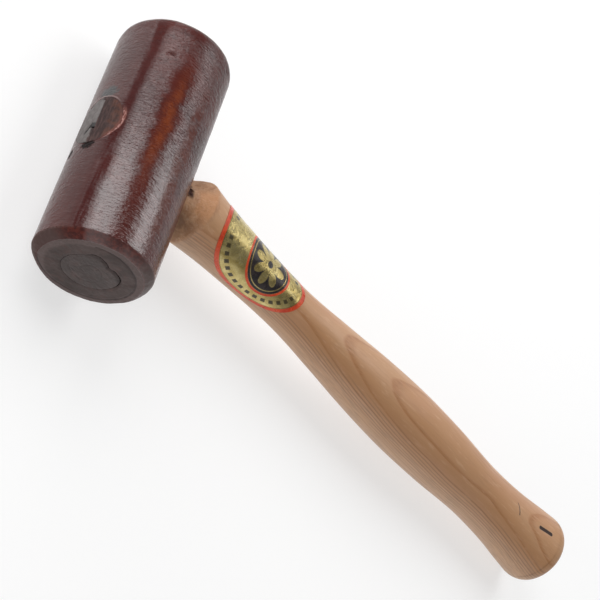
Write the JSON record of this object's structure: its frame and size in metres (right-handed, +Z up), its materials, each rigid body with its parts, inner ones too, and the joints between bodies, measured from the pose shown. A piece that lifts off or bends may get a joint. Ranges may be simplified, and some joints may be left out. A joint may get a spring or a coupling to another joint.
{
  "type": "rolled hide mallet",
  "caption": "Hand mallet with a cylindrical head of rolled, lacquered hide, wedged on a turned wooden handle with a narrow waist, a swelling grip and a flared butt.",
  "frame": {"origin": "bottom centre of the bounding box of the mallet as it lies on its side", "axes": "+X along the handle from the head to the butt, Y along the head's axis, +Z up; the handle tips down 1.2 degrees so that the head and the butt both touch the ground"},
  "size_m": [0.3054, 0.1, 0.044],
  "materials": {
    "hide_core": "worn lacquered hide end grain, satin",
    "lacquered_hide": "dark red-brown lacquered hide, glossy",
    "ash_wood": "pale ash, satin varnish",
    "wedge_wood": "hardwood, lacquered over",
    "foil_label": "gold foil with an orange-red rim"
  },
  "bodies": {
    "root": {"hide_core_roll": "hide_core", "hide_outer_wrap": "lacquered_hide", "handle": "ash_wood", "eye_wedge": "wedge_wood", "oval_label": "foil_label"}
  },
  "joints": []
}
